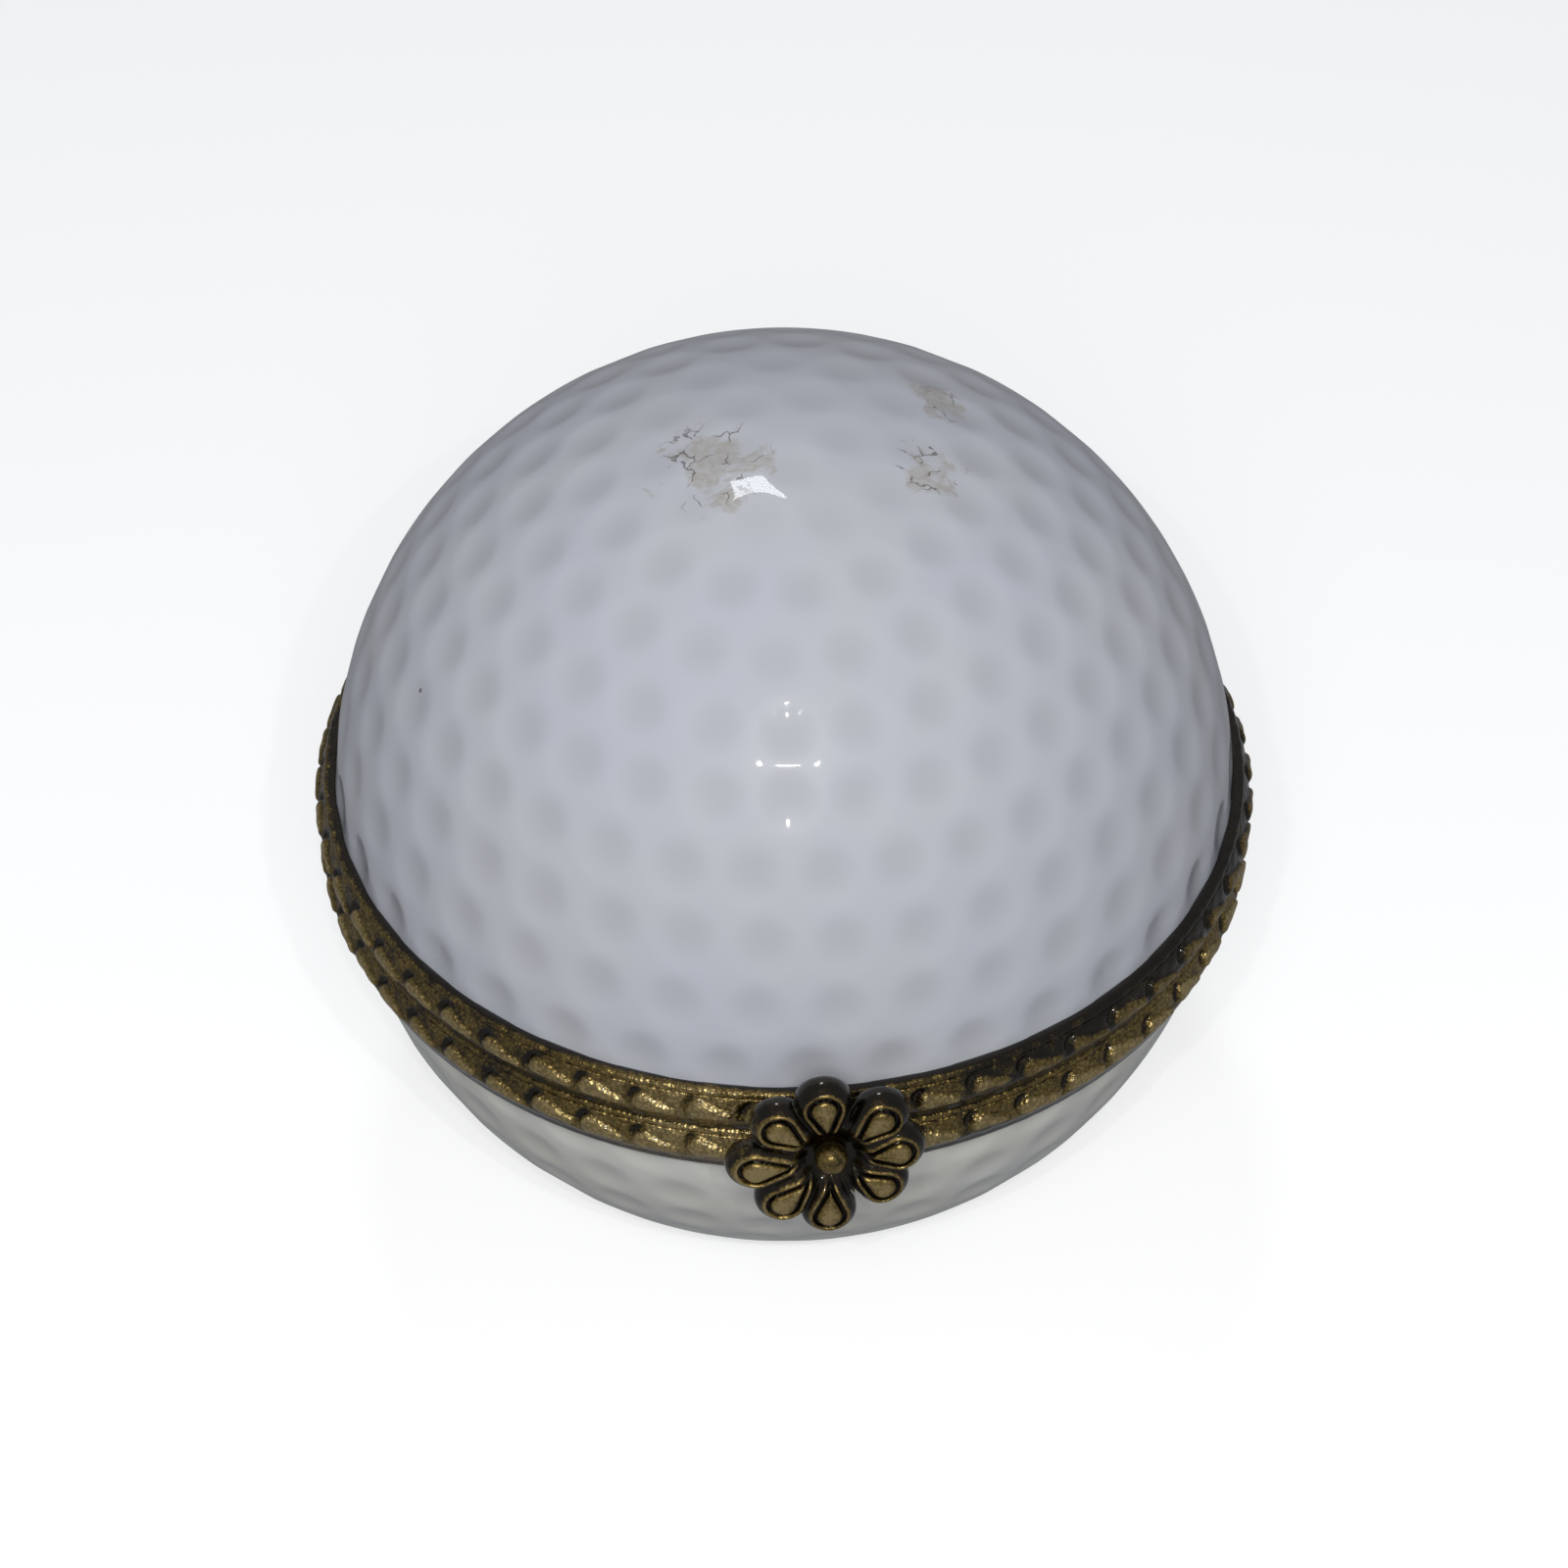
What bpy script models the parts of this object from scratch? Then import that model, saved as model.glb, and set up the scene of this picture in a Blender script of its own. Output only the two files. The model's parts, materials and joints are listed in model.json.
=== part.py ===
"""Hinged trinket box: two porcelain half balls, each set in a brass band, joined by a gutter hinge
at the back (+Y) and closed by a sprung flower clasp at the front (-Y). The origin is the centre of
the flat foot, with +Z up. Heights called "rise" are measured from the parting plane, and each half
is the other one's mirror image about that plane."""

import math

import bmesh
import bpy
from mathutils import Vector

MM = 0.001

# Porcelain
ball_radius = 25.0
wall = 2.4
foot_radius = 15.0
foot_thickness = 3.0
centre_rise = 0.7  # each half's sphere centre, above or below the parting plane

# Brass bands round the rims
parting_gap = 0.3
band_height = 2.65
band_edge = 0.25  # thickness of the band's thin top and bottom edges
band_crown = 0.65  # how far the half-round face stands out past those edges
flange_thickness = 0.4
flange_setback = 0.2  # the flange's inner edge, outside the bowl's inner wall
bedding_thickness = 0.3

# Hinge
knuckle_count = 5
hinge_width = 11.4
knuckle_radius = 1.1
pin_radius = 0.5
pin_head_radius = 0.8
pin_head_thickness = 0.35
bore_clearance = 0.06
gutter_wall = 0.5
leaf_height = 2.5
opening_angle = 70.0
stop_angle_left = 3.0  # play between the gutters' heels when the lid is fully open

# Clasp
clasp_tilt = 8.0
tongue_width = 2.6
tongue_thickness = 0.3
tongue_above = 1.0  # tongue past its solder point on the lid band's crest, upwards
nib_height = 0.6
tongue_tip = 0.4  # strip left past the nib
stud_radius = 0.55
stud_reach = 0.55  # stud's tip past the base band's crest
catch_clearance = 0.08
flower_radius = 5.1
flower_notch = 0.13  # depth of the notches between petals, as a share of the radius
flower_edge = 0.45
flower_ridge = 1.15
flower_cup_radius = 1.45
flower_rise = 0.6
petal_count = 8
rivet_radius = 0.4
bead_radius = 0.78
bead_height = 0.75

# Gap between pieces that touch, are soldered or are bedded together
touch_gap = 0.3

# Facets
around = 56
around_small = 24
dome_steps = 10

# Shared places, worked out from the sizes above
foot_depth = math.sqrt(ball_radius**2 - foot_radius**2)
base_centre_z = foot_depth
parting_z = base_centre_z + centre_rise
inner_radius = ball_radius - wall
flange_rise = parting_gap / 2
bedding_rise = flange_rise + flange_thickness + touch_gap
rim_rise = bedding_rise + bedding_thickness + touch_gap
band_inner = ball_radius + touch_gap
band_outer = band_inner + band_edge + band_crown
crest_rise = flange_rise + band_height / 2
gutter_inner = knuckle_radius + touch_gap
gutter_outer = gutter_inner + gutter_wall
hinge_y = ball_radius + touch_gap + touch_gap / 2 + gutter_outer
bore_radius = pin_radius + bore_clearance
hinge_gap_angle = math.asin((hinge_width / 2 + touch_gap) / band_inner)
hole_radius = rivet_radius + touch_gap
tilt = math.radians(clasp_tilt)
tongue_y = -(band_outer + touch_gap)


def material(name, colour, roughness, metallic):
    made = bpy.data.materials.new(name)
    made.use_nodes = True
    shader = made.node_tree.nodes["Principled BSDF"]
    shader.inputs["Base Color"].default_value = (*colour, 1.0)
    shader.inputs["Roughness"].default_value = roughness
    shader.inputs["Metallic"].default_value = metallic
    return made


def pivot(name, place, parent=None):
    """An empty on a joint's axis, at a place in the part's frame in millimetres."""
    empty = bpy.data.objects.new(name, None)
    bpy.context.scene.collection.objects.link(empty)
    put(empty, place, parent)
    return empty


def put(obj, place, parent=None):
    """Moves an object to its place in the part's frame, under an unturned parent."""
    obj.location = Vector(place) * MM
    above = parent
    while above:
        obj.location -= above.location
        above = above.parent
    obj.parent = parent


def finish(name, bm, look, place=(0, 0, 0), parent=None):
    """Turns a mesh in millimetres into a named object in metres, with its faces pointing out."""
    bmesh.ops.remove_doubles(bm, verts=bm.verts, dist=1e-4)
    bmesh.ops.recalc_face_normals(bm, faces=bm.faces)
    bmesh.ops.scale(bm, vec=(MM, MM, MM), verts=bm.verts)
    mesh = bpy.data.meshes.new(name)
    bm.to_mesh(mesh)
    bm.free()
    mesh.shade_smooth()
    mesh.set_sharp_from_angle(angle=math.radians(35))
    mesh.materials.append(look)
    obj = bpy.data.objects.new(name, mesh)
    bpy.context.scene.collection.objects.link(obj)
    put(obj, place, parent)
    return obj


def skin(rings, closed):
    """A solid over rings of equal point counts: joined end to end, or capped at both ends."""
    bm = bmesh.new()
    loops = [[bm.verts.new(point) for point in ring] for ring in rings]
    following = loops[1:] + loops[:1] if closed else loops[1:]
    for ring, after in zip(loops, following):
        for i in range(len(ring)):
            j = (i + 1) % len(ring)
            bm.faces.new((ring[i], ring[j], after[j], after[i]))
    if not closed:
        bm.faces.new(loops[0])
        bm.faces.new(reversed(loops[-1]))
    return bm


def turned(profile, start=0.0, sweep=2 * math.pi, steps=around):
    """A profile of (radius, height) points turned about Z, whole or over part of a turn."""
    closed = math.isclose(sweep, 2 * math.pi)
    angles = [start + sweep * i / steps for i in range(steps if closed else steps + 1)]
    rings = [[(r * math.cos(a), r * math.sin(a), z) for r, z in profile] for a in angles]
    return skin(rings, closed)


def extruded(outline, width):
    """An outline of (Y, Z) points, given its thickness along X about the middle."""
    ends = [[(x, y, z) for y, z in outline] for x in (-width / 2, width / 2)]
    return skin(ends, closed=False)


def arc(radius, first, last, steps):
    """Points of an arc about the origin, in degrees, both ends included."""
    angles = [math.radians(first + (last - first) * i / steps) for i in range(steps + 1)]
    return [(radius * math.cos(a), radius * math.sin(a)) for a in angles]


def mirrored(points, side):
    """Rises for the lid (side 1), or the same rises downwards for the base (side -1)."""
    return [(across, side * rise) for across, rise in points]


def shell(name, side, parent):
    """Half ball of even wall, ground flat at its rim; the base half also has a flat foot."""
    cut = math.degrees(math.asin((rim_rise - centre_rise) / ball_radius))
    cut_inside = math.degrees(math.asin((rim_rise - centre_rise) / inner_radius))
    if side > 0:
        outside = arc(ball_radius, cut, 90, dome_steps)
        inside = arc(inner_radius, 90, cut_inside, dome_steps - 2)
    else:
        floor_depth = foot_depth - foot_thickness
        foot_angle = math.degrees(math.asin(foot_depth / ball_radius))
        floor_angle = math.degrees(math.asin(floor_depth / inner_radius))
        outside = arc(ball_radius, cut, foot_angle, dome_steps) + [(0, foot_depth)]
        inside = [(0, floor_depth)] + arc(inner_radius, floor_angle, cut_inside, dome_steps - 2)
    profile = [(r, side * z) for r, z in outside + inside]
    place = (0, 0, parting_z + side * centre_rise)
    return finish(name, turned(profile), porcelain, place, parent)


def band(name, side, parent):
    """Half-round brass strip bent round the rim, its ends meeting the hinge at the back."""
    face = [
        (band_inner + band_edge + x, crest_rise + z * band_height / 2 / band_crown)
        for x, z in arc(band_crown, -90, 90, 6)
    ]
    face[0] = (face[0][0], flange_rise)
    face[-1] = (face[-1][0], flange_rise + band_height)
    back = [(band_inner, flange_rise + band_height), (band_inner, flange_rise)]
    start = math.pi / 2 + hinge_gap_angle
    sweep = 2 * math.pi - 2 * hinge_gap_angle
    bm = turned(mirrored(face + back, side), start, sweep, around)
    return finish(name, bm, brass, (0, 0, parting_z), parent)


def flat_ring(name, side, inner, low, thickness, look, parent):
    """Flat ring under the porcelain's ground rim."""
    section = [
        (ball_radius, low),
        (ball_radius, low + thickness),
        (inner, low + thickness),
        (inner, low),
    ]
    return finish(name, turned(mirrored(section, side)), look, (0, 0, parting_z), parent)


def gutter(name, side, parent):
    """Hinge leaf with a gutter that wraps the barrel. The two heels meet when the lid is open."""
    wrap = (360 - opening_angle - stop_angle_left) / 2
    lip = math.degrees(math.asin(flange_rise / gutter_inner))
    meets_leaf = math.degrees(math.acos(gutter_inner / gutter_outer))
    around_barrel = [(-y, z) for y, z in arc(gutter_outer, meets_leaf, wrap, 10)]
    inside_barrel = [(-y, z) for y, z in arc(gutter_inner, wrap, lip, 12)]
    leaf = [
        (-gutter_outer, flange_rise),
        (-gutter_outer, flange_rise + leaf_height),
        (-gutter_inner, flange_rise + leaf_height),
    ]
    outline = mirrored(leaf + around_barrel + inside_barrel, side)
    return finish(name, extruded(outline, hinge_width), brass, (0, hinge_y, parting_z), parent)


def along_x(bm):
    """Lays a piece that was turned about Z down along X."""
    for vert in bm.verts:
        vert.co = (vert.co.z, vert.co.y, -vert.co.x)
    return bm


def knuckle(name, number, parent):
    """One tube of the hinge barrel, numbered from -X."""
    length = (hinge_width - (knuckle_count - 1) * touch_gap) / knuckle_count
    middle = (number - (knuckle_count - 1) / 2) * (length + touch_gap)
    section = [
        (knuckle_radius, -length / 2),
        (knuckle_radius, length / 2),
        (bore_radius, length / 2),
        (bore_radius, -length / 2),
    ]
    bm = along_x(turned(section, steps=around_small))
    return finish(name, bm, brass, (middle, hinge_y, parting_z), parent)


def pin(parent):
    """Wire through all the knuckles, with a peened head at each end."""
    inside = hinge_width / 2 + touch_gap
    outside = inside + pin_head_thickness
    half = [
        (pin_radius, inside),
        (pin_head_radius, inside),
        (pin_head_radius, inside + pin_head_thickness / 2),
        (pin_radius, outside),
        (0, outside),
    ]
    other_half = [(r, -z) for r, z in reversed(half)]
    bm = along_x(turned(other_half + half, steps=around_small))
    return finish("hinge_pin", bm, steel, (0, hinge_y, parting_z), parent)


def facing_out(obj, lean=tilt):
    """Turns a piece made along Z to face the front, leaning back to look a little upwards."""
    obj.rotation_euler = (math.pi / 2 - lean, 0, 0)
    return obj


def on_tongue(up, out):
    """Place in the part's frame of a point up the tongue and out from its inner face."""
    return (
        0,
        tongue_y + up * math.sin(tilt) - out * math.cos(tilt),
        parting_z + crest_rise + up * math.cos(tilt) + out * math.sin(tilt),
    )


def cut_hole(obj, radius, place, lean):
    """Drills a round hole through a piece, square to its face."""
    bm = turned([(radius, -1), (radius, 1), (0, 1), (0, -1)], steps=around_small)
    cutter = finish(f"{obj.name}_drill", bm, steel, place, obj.parent)
    facing_out(cutter, lean)
    cutter.hide_render = True
    cutter.display_type = "WIRE"
    cut = obj.modifiers.new("hole", "BOOLEAN")
    cut.operation = "DIFFERENCE"
    cut.solver = "EXACT"
    cut.object = cutter


def tongue(parent):
    """Spring strip soldered to the lid band, with a nib that snaps under the base band's stud."""
    nib_top = -(2 * crest_rise + stud_radius + touch_gap) / math.cos(tilt)
    nib_bottom = nib_top - nib_height
    stud_tip = band_outer + stud_reach
    strip_at_nib = band_outer + touch_gap - nib_bottom * math.sin(tilt)
    nib_depth = (strip_at_nib - stud_tip - catch_clearance) / math.cos(tilt)
    side_view = [
        (tongue_above, 0),
        (tongue_above, tongue_thickness),
        (nib_bottom - tongue_tip, tongue_thickness),
        (nib_bottom - tongue_tip, 0),
        (nib_bottom, 0),
        (nib_bottom + nib_height / 3, -nib_depth),
        (nib_top - nib_height / 3, -nib_depth),
        (nib_top, 0),
    ]
    strip = finish(
        "clasp_tongue", extruded(side_view, tongue_width), brass, on_tongue(0, 0), parent
    )
    facing_out(strip)
    cut_hole(strip, hole_radius, on_tongue(flower_up, 0), tilt)


def flower(parent):
    """Stamped blossom with a dished middle, its notched edge thinner than its petals."""
    steps = petal_count * 10
    back = tongue_thickness + touch_gap
    rows = (
        (0.0, 0.0, 0.0),
        (0.0, flower_edge, 0.0),
        (flower_cup_radius, flower_edge, 0.0),
        (flower_cup_radius + 0.3, flower_ridge * 0.75, 0.0),
        (flower_radius * 0.68, flower_ridge, 0.5),
        (flower_radius, flower_edge, 1.0),
        (flower_radius, 0.0, 1.0),
    )
    rings = []
    for i in range(steps):
        a = 2 * math.pi * i / steps
        lobe = abs(math.cos(petal_count * a / 2)) ** 0.6
        ring = []
        for radius, height, notched in rows:
            r = max(radius, hole_radius) * (1 - flower_notch * notched * (1 - lobe))
            drop = 0.35 * (1 - lobe) * (0 < notched < 1)
            ring.append((r * math.sin(a), r * math.cos(a), height - drop))
        rings.append(ring)
    bm = skin(rings, closed=True)
    facing_out(finish("flower", bm, brass, on_tongue(flower_up, back), parent))


def rivet(parent):
    """Round bead in the flower's cup, on a shank through the flower and the tongue."""
    head = tongue_thickness + touch_gap + flower_edge + touch_gap
    dome = [(r, head + z * bead_height / bead_radius) for r, z in arc(bead_radius, 0, 90, 6)]
    profile = [(0, 0), (rivet_radius, 0), (rivet_radius, head), *dome]
    bm = turned(profile, steps=around_small)
    facing_out(finish("flower_rivet", bm, brass, on_tongue(flower_up, 0), parent))


def stud(parent):
    """Round-nosed peg riveted through the base band, which the tongue's nib passes."""
    inside = band_inner + 0.05
    reach = band_outer + stud_reach - inside
    nose = [(r, reach - stud_radius / 2 + z / 2) for r, z in arc(stud_radius, 0, 90, 4)]
    bm = turned([(0, 0), (stud_radius, 0), *nose], steps=around_small)
    facing_out(finish("catch_stud", bm, brass, (0, -inside, parting_z - crest_rise), parent), 0)


for old in list(bpy.data.objects):
    bpy.data.objects.remove(old)

porcelain = material("porcelain", (0.62, 0.63, 0.66), 0.12, 0.0)
brass = material("antique_brass", (0.33, 0.25, 0.12), 0.42, 1.0)
steel = material("pin_steel", (0.45, 0.43, 0.40), 0.35, 1.0)
cement = material("bedding_cement", (0.58, 0.55, 0.48), 0.9, 0.0)

flower_up = (flower_rise - crest_rise) / math.cos(tilt)
lid_pivot = pivot("lid_pivot", (0, hinge_y, parting_z))
clasp_pivot = pivot("clasp_pivot", on_tongue(0, 0), lid_pivot)

for half, half_side, half_parent in (("base", -1, None), ("lid", 1, lid_pivot)):
    shell(f"{half}_shell", half_side, half_parent)
    rim_band = band(f"{half}_band", half_side, half_parent)
    if half == "base":
        stud_hole = (0, -(band_inner + band_outer) / 2, parting_z - crest_rise)
        cut_hole(rim_band, stud_radius + touch_gap, stud_hole, 0)
    flat_ring(
        f"{half}_seat_ring", half_side, inner_radius + flange_setback, flange_rise,
        flange_thickness, brass, half_parent,
    )
    flat_ring(
        f"{half}_cement_bed", half_side, inner_radius + 2 * flange_setback, bedding_rise,
        bedding_thickness, cement, half_parent,
    )
    gutter(f"{half}_hinge_leaf", half_side, half_parent)

for barrel_place in range(knuckle_count):
    if barrel_place % 2 == 0:
        knuckle(f"base_knuckle_{barrel_place + 1}", barrel_place, None)
    else:
        knuckle(f"lid_knuckle_{barrel_place + 1}", barrel_place, lid_pivot)
pin(None)

tongue(clasp_pivot)
flower(clasp_pivot)
rivet(clasp_pivot)
stud(None)
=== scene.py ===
"""Visual model of a hinged porcelain trinket box in the shape of a golf ball, at rest and closed."""

import json
import math

import bpy
import numpy as np
from mathutils import Euler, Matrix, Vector


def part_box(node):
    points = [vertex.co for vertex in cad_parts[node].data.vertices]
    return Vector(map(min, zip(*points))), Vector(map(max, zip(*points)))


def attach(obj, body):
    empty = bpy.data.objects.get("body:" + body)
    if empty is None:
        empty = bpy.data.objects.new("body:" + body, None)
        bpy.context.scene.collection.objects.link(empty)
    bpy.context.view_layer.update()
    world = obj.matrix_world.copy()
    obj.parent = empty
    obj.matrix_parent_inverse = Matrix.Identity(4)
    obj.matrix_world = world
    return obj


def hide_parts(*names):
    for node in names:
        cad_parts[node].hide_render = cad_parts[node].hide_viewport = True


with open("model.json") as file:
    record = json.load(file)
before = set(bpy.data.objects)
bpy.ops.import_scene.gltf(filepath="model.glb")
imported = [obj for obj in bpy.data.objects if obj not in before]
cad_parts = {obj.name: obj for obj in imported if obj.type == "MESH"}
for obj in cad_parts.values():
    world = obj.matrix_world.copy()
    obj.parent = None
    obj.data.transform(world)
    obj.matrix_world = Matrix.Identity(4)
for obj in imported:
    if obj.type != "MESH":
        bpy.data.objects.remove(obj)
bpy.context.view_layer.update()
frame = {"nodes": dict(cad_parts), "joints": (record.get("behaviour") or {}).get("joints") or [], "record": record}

# ---------------------------------------------------------------------------------------------
# Porcelain lid. The dome is slip-cast in a plaster mould that presses rows of dimples into its
# outside, then glazed all over but for its ground rim. Old glue and dust cling round its crown.

joints = {joint["name"]: joint for joint in frame["joints"]}
hinge_place = Vector(joints["lid_hinge"]["pos_m"])
parting = hinge_place.z
ball_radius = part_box("lid_seat_ring")[1].x
dome_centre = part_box("lid_shell")[1].z - ball_radius
centre_rise = dome_centre - parting
rim_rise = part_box("lid_shell")[0].z - parting
wall = 0.0024
inner_radius = ball_radius - wall

dimple_rows = 10
first_row = math.radians(7.3)
row_step = math.radians(8.4)
dimple_pitch = math.radians(8.6)
most_in_a_row = 36
row_turns = (3.0, 6.7, 7.6, 6.0, 0.6, 0.6, -1.8, 6.0, 20.8, 10.0)
clasp_turn = 4.9
dimple_radius = 0.00178
dimple_depth = 0.00018
rim_row_depth = 1.35
crown_row = 8
crown_row_depth = 0.55


def outline_object(name, points, closed=False):
    """A chain of edges through (x, y, z) points, ready to be turned or extruded."""
    bpy.ops.object.select_all(action="DESELECT")
    mesh = bpy.data.meshes.new(name)
    edges = [(i, i + 1) for i in range(len(points) - 1)]
    if closed:
        edges.append((len(points) - 1, 0))
    mesh.from_pydata(points, edges, [])
    piece = bpy.data.objects.new(name, mesh)
    bpy.context.scene.collection.objects.link(piece)
    bpy.context.view_layer.objects.active = piece
    piece.select_set(True)
    return piece


def tidy_mesh(merge=1e-6):
    """In edit mode: welds doubles and turns every face outwards."""
    bpy.ops.mesh.select_all(action="SELECT")
    bpy.ops.mesh.remove_doubles(threshold=merge)
    bpy.ops.mesh.normals_make_consistent(inside=False)


def turned(name, profile, steps, start=0.0, sweep=math.tau, closed=False):
    """Sweeps a profile of (radius, height) points about the Z axis, capping a part turn's ends."""
    points = [(r * math.cos(start), r * math.sin(start), z) for r, z in profile]
    piece = outline_object(name, points, closed)
    screw = piece.modifiers.new("turn", "SCREW")
    screw.angle = sweep
    screw.steps = screw.render_steps = steps
    screw.use_merge_vertices = True
    screw.merge_threshold = 1e-6
    bpy.ops.object.modifier_apply(modifier=screw.name)
    bpy.ops.object.mode_set(mode="EDIT")
    bpy.ops.mesh.select_all(action="SELECT")
    bpy.ops.mesh.remove_doubles(threshold=1e-6)
    if sweep < math.tau - 1e-6:
        bpy.ops.mesh.select_all(action="DESELECT")
        bpy.ops.mesh.select_non_manifold(extend=False)
        bpy.ops.mesh.edge_face_add()
    tidy_mesh()
    bpy.ops.object.mode_set(mode="OBJECT")
    bpy.ops.object.shade_smooth()
    return piece


def arc(centre, radius, first, last, steps):
    """(radius, height) points along an arc, from one angle to another in degrees."""
    angles = [math.radians(first + (last - first) * i / steps) for i in range(steps + 1)]
    return [(centre[0] + radius * math.cos(a), centre[1] + radius * math.sin(a)) for a in angles]


def points_of(piece):
    flat = np.empty(len(piece.data.vertices) * 3)
    piece.data.vertices.foreach_get("co", flat)
    return flat.reshape(-1, 3)


def keep(piece, values, attribute):
    """Stores a value at each of a piece's points, for its material to read."""
    kept = piece.data.attributes.new(attribute, "FLOAT", "POINT")
    kept.data.foreach_set("value", values.astype(np.float32))


def press(piece, amount, depth, attribute):
    """Pushes the surface along its normals by depth times amount, and keeps amount for the material."""
    group = piece.vertex_groups.new(name="pressed")
    finest = 400
    levels = np.round(amount * finest).astype(int)
    order = np.argsort(levels, kind="stable")
    starts = np.searchsorted(levels[order], range(1, finest + 2))
    for level in range(1, finest + 1):
        group.add(order[starts[level - 1]:starts[level]].tolist(), level / finest, "REPLACE")
    push = piece.modifiers.new("press", "DISPLACE")
    push.vertex_group = group.name
    push.mid_level = 0.0
    push.strength = depth
    bpy.context.view_layer.objects.active = piece
    bpy.ops.object.modifier_apply(modifier=push.name)
    keep(piece, amount, attribute)


def dimples(points, centre_z, rows=dimple_rows):
    """How deep in a dimple each point of the outer face lies, from 0 at its edge to 1."""
    x, y, z = points[:, 0], points[:, 1], np.abs(points[:, 2] - centre_z)
    far = np.sqrt(x * x + y * y + z * z)
    latitude = np.arcsin(np.clip(z / far, 0, 1))
    longitude = np.arctan2(x, -y)
    found = np.zeros(len(points))
    for row in range(rows):
        row_latitude = first_row + row * row_step
        count = min(most_in_a_row, round(math.tau * math.cos(row_latitude) / dimple_pitch))
        step = math.tau / count
        turn = math.radians(row_turns[row] - clasp_turn)
        nearest = np.round((longitude - turn) / step) * step + turn
        sideways = np.cos(latitude) * math.cos(row_latitude) * np.cos(longitude - nearest)
        apart = np.arccos(np.clip(np.sin(latitude) * math.sin(row_latitude) + sideways, -1, 1))
        reach = ball_radius * apart / dimple_radius
        share = crown_row_depth if row >= crown_row else 1.0
        if row == 0:
            share = rim_row_depth
        found = np.maximum(found, share / rim_row_depth * np.clip(1 - reach**2, 0, 1) ** 1.6)
    outside = far > ball_radius - wall / 2
    rim = np.abs(z - abs(rim_rise - centre_rise)) < 1e-5
    return found * outside * ~rim


cut = math.degrees(math.asin((rim_rise - centre_rise) / ball_radius))
cut_inside = math.degrees(math.asin((rim_rise - centre_rise) / inner_radius))
lid_profile = arc((0, dome_centre), ball_radius, 90, cut, 112)
lid_profile += arc((0, dome_centre), inner_radius, cut_inside, 90, 40)
lid_porcelain = turned("lid_porcelain", lid_profile, 432)
lid_dimples = dimples(points_of(lid_porcelain), dome_centre)
press(lid_porcelain, lid_dimples, -dimple_depth * rim_row_depth, "dimple")


class Wire:
    """A node's output that takes part in plain sums, such as 1 - mask * 0.5."""

    def __init__(self, look, socket):
        self.look = look
        self.socket = socket

    def sum(self, operation, first, second):
        return self.look.node("ShaderNodeMath", {"operation": operation}, {0: first, 1: second})

    def __add__(self, other):
        return self.sum("ADD", self, other)

    def __radd__(self, other):
        return self.sum("ADD", other, self)

    def __sub__(self, other):
        return self.sum("SUBTRACT", self, other)

    def __rsub__(self, other):
        return self.sum("SUBTRACT", other, self)

    def __mul__(self, other):
        return self.sum("MULTIPLY", self, other)

    def __rmul__(self, other):
        return self.sum("MULTIPLY", other, self)


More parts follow.
